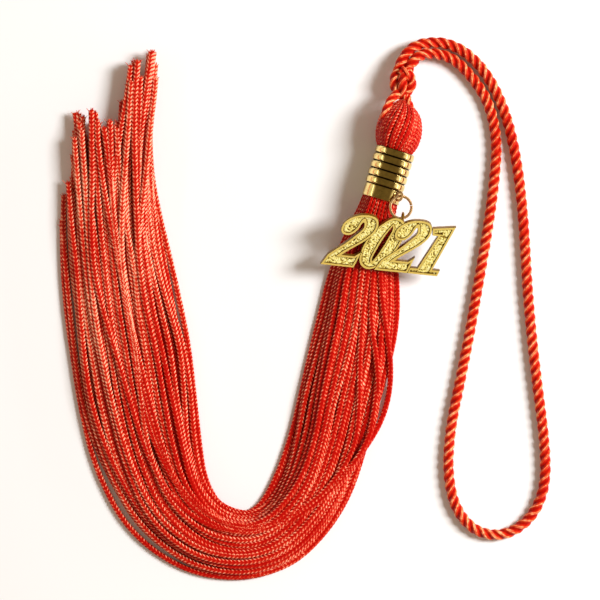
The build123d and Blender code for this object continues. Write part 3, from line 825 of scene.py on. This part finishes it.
# %% Where the charm's faces are
GRAIN_STEP = 0.16
SAME_LEVEL = 0.1  # how far from the face's level a ray may hit it
FACE, RIM = 1, 2
surface = BVHTree.FromPolygons(charm_points.tolist(), [p.vertices[:] for p in charm.data.polygons])
step = GRAIN_STEP * MM * 1
columns, rows = int((high[0] - low[0]) / step) + 2, int((high[1] - low[1]) / step) + 2
grid = np.zeros((rows, columns))
for row in range(rows):
    for column in range(columns):
        spot = charm_along * (low[0] + column * step) + charm_rise * (low[1] + row * step)
        hit = surface.ray_cast(Vector(spot + face_normal * (high[2] + MM)), Vector(-face_normal), 4 * MM)[0]
        if hit is None:
            continue
        level = np.array(hit) @ face_normal
        if level > face_level + SAME_LEVEL * MM:
            grid[row, column] = RIM
        elif level > face_level - SAME_LEVEL * MM:
            grid[row, column] = FACE
print("points on the faces:", int((grid == FACE).sum()))

# %% [markdown]
# A small bump of its own height is raised at each point of a face, and each is moved a little aside so that
# no rows show. Bumps that are averaged with their neighbours run together into grains. Next to a rim they
# stay low, as the corner there is never quite filled.

# %% Stippled sheet
GRAIN_HEIGHT = 0.17
lumps = chance.uniform(0.0, 1.0, grid.shape)
lumps = (lumps + np.roll(lumps, 1, 0) + np.roll(lumps, 1, 1) + np.roll(lumps, (1, 1), (0, 1))) / 4
lumps = np.clip((lumps - 0.29) * 2.2, 0.0, 1.0)
by_rim = np.zeros(grid.shape, bool)
for shift, axis in ((1, 0), (-1, 0), (1, 1), (-1, 1)):
    by_rim |= np.roll(grid, shift, axis) == RIM
# Low bumps by a rim also take the dark end of the face's colours: painted shade in the corner.
lumps[by_rim] *= 0.1
on_face = grid == FACE
level = face_level + np.where(on_face, 0.03 + GRAIN_HEIGHT * lumps, -0.05) * MM
across, along = np.meshgrid(low[0] + np.arange(columns) * step, low[1] + np.arange(rows) * step)
jitter = chance.uniform(-0.3, 0.3, (2, rows, columns)) * step
across, along = across + jitter[0] * on_face, along + jitter[1] * on_face
points = across[..., None] * charm_along + along[..., None] * charm_rise + level[..., None] * face_normal


def four_corners(values):
    """The values at the four corners of every cell of the grid, in order round it."""
    return values[:-1, :-1], values[:-1, 1:], values[1:, 1:], values[1:, :-1]


keep = np.all(four_corners(grid > 0), axis=0) & np.any(four_corners(on_face), axis=0)
faces = np.stack(four_corners(np.arange(rows * columns).reshape(rows, columns)), -1)[keep]
used, faces = np.unique(faces, return_inverse=True)
grain_mesh = bpy.data.meshes.new("charm_grain")
grain_mesh.from_pydata(points.reshape(-1, 3)[used].tolist(), [], faces.reshape(-1, 4).tolist())
crests = grain_mesh.attributes.new("crest", "FLOAT", "POINT")
crests.data.foreach_set("value", lumps.ravel()[used].astype(np.float32))
charm_grain = bpy.data.objects.new("charm_grain", grain_mesh)
bpy.context.scene.collection.objects.link(charm_grain)
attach(charm_grain, "charm")
print("stippled faces:", len(grain_mesh.polygons))

# %% [markdown]
# A finish is a small tree of nodes that feeds the shader: a pattern, a ramp of colours and a bump. The same
# few nodes come back in every finish here, so each has a short helper.


# %% Node helpers
def new_finish(name):
    material = bpy.data.materials.new(name)
    material.use_nodes = True
    tree = material.node_tree
    return material, tree, tree.nodes["Principled BSDF"]


def coat(pieces, material):
    """Give each piece one finish, in place of any that it has."""
    for piece in pieces:
        piece.data.materials.clear()
        piece.data.materials.append(material)


def attribute(tree, name):
    node = tree.nodes.new("ShaderNodeAttribute")
    node.attribute_name = name
    return node.outputs["Fac"]


def maths(tree, operation, first, second=None, third=None):
    node = tree.nodes.new("ShaderNodeMath")
    node.operation = operation
    for socket, value in zip(node.inputs, (first, second, third)):
        if value is None:
            continue
        if isinstance(value, (int, float)):
            socket.default_value = value
        else:
            tree.links.new(value, socket)
    return node.outputs[0]


def ramp(tree, factor, stops):
    node = tree.nodes.new("ShaderNodeValToRGB")
    node.color_ramp.elements.remove(node.color_ramp.elements[1])
    for index, (place, colour) in enumerate(stops):
        element = node.color_ramp.elements[0] if index == 0 else node.color_ramp.elements.new(place)
        element.position = place
        element.color = (*colour, 1.0)
    tree.links.new(factor, node.inputs[0])
    return node.outputs[0]


def noise(tree, scale, detail):
    coordinates = tree.nodes.new("ShaderNodeTexCoord")
    node = tree.nodes.new("ShaderNodeTexNoise")
    node.inputs["Scale"].default_value = scale
    node.inputs["Detail"].default_value = detail
    tree.links.new(coordinates.outputs["Object"], node.inputs["Vector"])
    return node.outputs["Fac"]


def reach_along(tree, output, direction):
    """How far a point (Object) or a ray (Generated) reaches along a fixed direction."""
    coordinates = tree.nodes.new("ShaderNodeTexCoord")
    node = tree.nodes.new("ShaderNodeVectorMath")
    node.operation = "DOT_PRODUCT"
    node.inputs[1].default_value = direction
    tree.links.new(coordinates.outputs[output], node.inputs[0])
    return node.outputs["Value"]


def bump(tree, shader, height, distance, strength):
    node = tree.nodes.new("ShaderNodeBump")
    node.inputs["Distance"].default_value = distance
    node.inputs["Strength"].default_value = strength
    tree.links.new(height, node.inputs["Height"])
    tree.links.new(node.outputs[0], shader.inputs["Normal"])


# %% [markdown]
# Rayon is smooth and shiny, so each stitch has a bright crest and a deep, saturated groove, and both are
# painted into the colour. The finish mixes five reds by the height of the relief that the tubes carry, from a
# painted shade red in the grooves to a painted peach highlight on the crests, and shifts each cord a little
# by its own tone. The tails are combed tight near the band and lie open further on, and the finish paints
# them paler along their length as painted light, for the light that gets between them there. Fine fibres are
# a bump in the finish, as they are far smaller than the stitches.

# %% Thread finishes
# from a painted shade red for the grooves, at the low end, to a painted peach highlight for the crests
RAYON_SHADE_TO_HIGHLIGHT_STOPS = [
    (0.0, (0.42, 0.002, 0.001)),
    (0.25, (0.47, 0.007, 0.002)),
    (0.5, (0.60, 0.028, 0.010)),
    (0.72, (0.84, 0.17, 0.085)),
    (0.95, (0.98, 0.48, 0.31)),
]
# from painted shade between the plies, at the low end, to a painted highlight on the ply tops
CORD_SHADE_TO_HIGHLIGHT_STOPS = [
    (0.0, (0.38, 0.003, 0.001)),
    (0.3, (0.52, 0.010, 0.002)),
    (0.6, (0.64, 0.044, 0.011)),
    (0.8, (0.90, 0.26, 0.10)),
    (1.0, (0.98, 0.58, 0.28)),
]
SPECKLE_SCALE = 1100.0
PALER_PER_MM, PALER_START = 0.0040, -0.46
PALER_LEAST, PALER_MOST = -0.03, 0.24


def thread_finish(name, stops, roughness, paints_paler_along):
    material, tree, shader = new_finish(name)
    tone = maths(tree, "MULTIPLY_ADD", attribute(tree, "tone"), 0.3, -0.15)
    speckle = maths(tree, "MULTIPLY_ADD", noise(tree, SPECKLE_SCALE, 3.0), 1.1, -0.55)
    patches = maths(tree, "MULTIPLY_ADD", noise(tree, 60.0, 3.0), 0.6, -0.3)
    # The crest picks the red: painted shade in the grooves, painted highlight on the crests.
    level = maths(tree, "ADD", attribute(tree, "crest"), tone)
    # Painted light: the tails are made paler the further they are from the band.
    if paints_paler_along:
        paler = maths(tree, "MULTIPLY_ADD", attribute(tree, "along"), PALER_PER_MM, PALER_START)
        paler = maths(tree, "SMOOTH_MIN", paler, PALER_MOST, 0.05)
        level = maths(tree, "ADD", level, maths(tree, "MAXIMUM", paler, PALER_LEAST))
    level = maths(tree, "ADD", level, speckle)
    level = maths(tree, "ADD", level, patches)
    tree.links.new(ramp(tree, level, stops), shader.inputs["Base Color"])
    bump(tree, shader, noise(tree, 5200.0, 2.0), 0.00004, 0.6)
    shader.inputs["Roughness"].default_value = roughness
    shader.inputs["Specular IOR Level"].default_value = 0.15
    return material


coat(strand_pieces + [frayed_ends, head], thread_finish("rayon chainette", RAYON_SHADE_TO_HIGHLIGHT_STOPS, 0.5, True))
coat([hanging_cord, knot, legs], thread_finish("twisted rayon", CORD_SHADE_TO_HIGHLIGHT_STOPS, 0.42, False))

# %% [markdown]
# The bundle and the binding are packed inside the band and show only as a sliver at its mouth, so they keep
# the CAD shape and wear two of the same reds in fine speckles: the painted shade red of the grooves and the
# middle red.

# %% Packed rayon
packed, tree, shader = new_finish("packed rayon")
packed_stops = [(0.35, RAYON_SHADE_TO_HIGHLIGHT_STOPS[0][1]), (0.65, RAYON_SHADE_TO_HIGHLIGHT_STOPS[2][1])]
tree.links.new(ramp(tree, noise(tree, SPECKLE_SCALE, 3.0), packed_stops), shader.inputs["Base Color"])
shader.inputs["Roughness"].default_value = 0.6
coat([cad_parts["neck_bundle"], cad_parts["neck_binding"]], packed)


# %% [markdown]
# Gold plate is a mirror with a colour: it looks pale where it faces a bright wall and brown where it faces
# the dark ceiling. The metal itself only needs a colour, a low roughness and a few faint rubs. The eyelet
# and the ring are wire with a redder plating, which is less of a mirror.


# %% Gold
def gold_finish(name, colour, roughness, rub, metallic):
    material, tree, shader = new_finish(name)
    dark = tuple(0.72 * part for part in colour)
    rubbed = ramp(tree, noise(tree, 900.0, 4.0), [(0.3, dark), (0.6, colour)])
    tree.links.new(rubbed, shader.inputs["Base Color"])
    bump(tree, shader, noise(tree, 700.0, 3.0), 0.00002, rub)
    shader.inputs["Metallic"].default_value = metallic
    shader.inputs["Roughness"].default_value = roughness
    return material, tree, shader


band_gold, tree, shader = gold_finish("polished gold plate", (0.95, 0.72, 0.27), 0.12, 0.3, 1.0)
coat([band], band_gold)
wire_gold = gold_finish("red gold wire", (0.80, 0.50, 0.22), 0.2, 0.2, 0.75)[0]
coat([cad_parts["band_eyelet"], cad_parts["jump_ring"]], wire_gold)

# %% [markdown]
# The grooves between the ribs are painted with a dark line of shade, where the deep, narrow grooves shade
# themselves. The finish counts ribs up the band, folds that count at each groove, and darkens the gold where
# the fold is nearly closed. The plain skirt below is left out.

# %% Painted shade in the band's grooves
first_groove = float(to_frame(MOUTH + band_axis * SKIRT_LENGTH) @ band_axis)
along_band = reach_along(tree, "Object", band_axis)
ribs_up = maths(tree, "MULTIPLY_ADD", along_band, 1 / (rib_pitch * MM), -first_groove / (rib_pitch * MM))
from_groove = maths(tree, "PINGPONG", ribs_up, 0.5)
on_skirt = maths(tree, "SUBTRACT", 1.0, maths(tree, "GREATER_THAN", ribs_up, -0.2))
from_groove = maths(tree, "MAXIMUM", from_groove, on_skirt)
grooves_shaded_gold = tree.nodes.new("ShaderNodeMixRGB")
grooves_shaded_gold.blend_type = "MULTIPLY"
grooves_shaded_gold.inputs[0].default_value = 1.0
tree.links.new(shader.inputs["Base Color"].links[0].from_socket, grooves_shaded_gold.inputs[1])
# painted shade: near-black gold at each groove, the plain gold elsewhere
groove_shade = ramp(tree, from_groove, [(0.07, (0.10, 0.06, 0.015)), (0.15, (1.0, 1.0, 1.0))])
tree.links.new(groove_shade, grooves_shaded_gold.inputs[2])
tree.links.new(grooves_shaded_gold.outputs[0], shader.inputs["Base Color"])

# %% [markdown]
# The charm's rims are polished, with painted shade down their sides to the foot and gold on top, so their
# colour follows the height above the face. The stippled face is the same gold, rougher and paler, with
# painted shade in the pits between the grains and a painted highlight on the grain tops.

# %% Charm finishes
# how far below the rim's top the painted shade reaches
RIM_FADE = 0.5  # how far below the rim's top the dark foot lies
# gold with painted shade: dark at the foot and up the sides, then the gold on top
RIM_GOLD_AND_SHADE_STOPS = [
    (0.0, (0.24, 0.12, 0.01)),
    (0.72, (0.30, 0.16, 0.015)),
    (0.9, (0.80, 0.52, 0.08)),
    (1.0, (1.0, 0.78, 0.20)),
]
# from painted shade in the pits to a painted highlight on the grain tops
GRAIN_SHADE_TO_HIGHLIGHT_STOPS = [
    (0.0, (0.05, 0.02, 0.001)),
    (0.16, (0.40, 0.26, 0.03)),
    (0.3, (0.92, 0.78, 0.20)),
    (1.0, (1.0, 1.0, 0.52)),
]
rim_gold, tree, shader = new_finish("polished rim")
up_the_rim = reach_along(tree, "Object", face_normal)
share = maths(tree, "MULTIPLY_ADD", up_the_rim, 1 / (RIM_FADE * MM), 1.0 - rim_level / (RIM_FADE * MM))
tree.links.new(ramp(tree, share, RIM_GOLD_AND_SHADE_STOPS), shader.inputs["Base Color"])
bump(tree, shader, noise(tree, 700.0, 3.0), 0.00002, 0.3)
shader.inputs["Metallic"].default_value = 0.4
shader.inputs["Roughness"].default_value = 0.3
coat([charm], rim_gold)
grain_gold, tree, shader = new_finish("stippled gold face")
tree.links.new(ramp(tree, attribute(tree, "crest"), GRAIN_SHADE_TO_HIGHLIGHT_STOPS), shader.inputs["Base Color"])
bump(tree, shader, noise(tree, 4000.0, 2.0), 0.00005, 0.6)
shader.inputs["Metallic"].default_value = 0.2
shader.inputs["Roughness"].default_value = 0.42
coat([charm_grain], grain_gold)

# %% [markdown]
# The tassel lies on a plain white table. It is part of the stage and not of the tassel, and a square sheet
# at the height where the tassel rests is enough.

# %% Table
TABLE_HALF = 1.5
table_corners = [(TABLE_HALF * x, TABLE_HALF * y, 0.0) for x, y in ((-1, -1), (1, -1), (1, 1), (-1, 1))]
table_mesh = bpy.data.meshes.new("table_top")
table_mesh.from_pydata(table_corners, [], [(0, 1, 2, 3)])
table = bpy.data.objects.new("table_top", table_mesh)
bpy.context.scene.collection.objects.link(table)
paper, _, shader = new_finish("white table")
shader.inputs["Base Color"].default_value = (0.85, 0.865, 0.88, 1.0)
shader.inputs["Roughness"].default_value = 0.9
shader.inputs["Specular IOR Level"].default_value = 0.1
coat([table], paper)

# %% [markdown]
# A large soft lamp stands to the right, so that shadows fall softly to the left. Two long thin lamps low on
# either side draw the bright lines along the band and the wire.


# %% Lamps
def lamp(name, place, size, power, colour):
    """A soft lamp at a place on the plan, aimed at the middle of the tassel."""
    data = bpy.data.lights.new(name, "AREA")
    data.shape = "RECTANGLE"
    data.size, data.size_y = size
    data.energy = power
    data.color = colour
    thing = bpy.data.objects.new(name, data)
    thing.location = to_frame(place)
    direction = Vector(to_frame((0.0, 0.0, 0.0))) - thing.location
    thing.rotation_euler = direction.to_track_quat("-Z", "Y").to_euler()
    bpy.context.scene.collection.objects.link(thing)
    return thing


window = lamp("window", (720.0, 190.0, 680.0), (0.30, 0.40), 14.5, (1.0, 1.0, 1.0))
window.visible_glossy = False
lamp("right strip", (1000.0, 60.0, 215.0), (1.4, 0.08), 2.1, (1.0, 0.99, 0.97))
lamp("left strip", (-900.0, 120.0, 430.0), (1.4, 0.05), 0.9, (1.0, 0.98, 0.94))

# %% [markdown]
# Warm walls all round fill the shadows. What the metal sees is darker than the walls: a dark ceiling, which
# is what gives gold its brown middle, and a pale glow only far out to either side of the band. So the room
# is two backgrounds, one for all light and one for rays that come off something glossy.

# %% Room
ROOM_STOPS = [
    (0.0, (0.02, 0.012, 0.004)),
    (0.22, (0.12, 0.088, 0.036)),
    (0.92, (0.14, 0.10, 0.045)),
    (0.97, (0.50, 0.43, 0.28)),
    (1.0, (0.95, 0.90, 0.78)),
]
room = bpy.data.worlds.new("room")
bpy.context.scene.world = room
room.use_nodes = True
tree = room.node_tree
fill_light = tree.nodes["Background"]
fill_light.inputs["Color"].default_value = (1.0, 0.76, 0.54, 1.0)
fill_light.inputs["Strength"].default_value = 0.36
to_the_side = maths(tree, "ABSOLUTE", reach_along(tree, "Generated", band_side))
upwards = maths(tree, "MAXIMUM", reach_along(tree, "Generated", UP), 0.0)
brightness = maths(tree, "MULTIPLY_ADD", upwards, 0.25, to_the_side)
seen_in_metal = tree.nodes.new("ShaderNodeBackground")
tree.links.new(ramp(tree, brightness, ROOM_STOPS), seen_in_metal.inputs["Color"])
rays = tree.nodes.new("ShaderNodeLightPath")
either = tree.nodes.new("ShaderNodeMixShader")
tree.links.new(rays.outputs["Is Glossy Ray"], either.inputs[0])
tree.links.new(fill_light.outputs[0], either.inputs[1])
tree.links.new(seen_in_metal.outputs[0], either.inputs[2])
tree.links.new(either.outputs[0], tree.nodes["World Output"].inputs["Surface"])
bpy.context.scene.view_settings.view_transform = "Standard"
bpy.context.scene.view_settings.look = "None"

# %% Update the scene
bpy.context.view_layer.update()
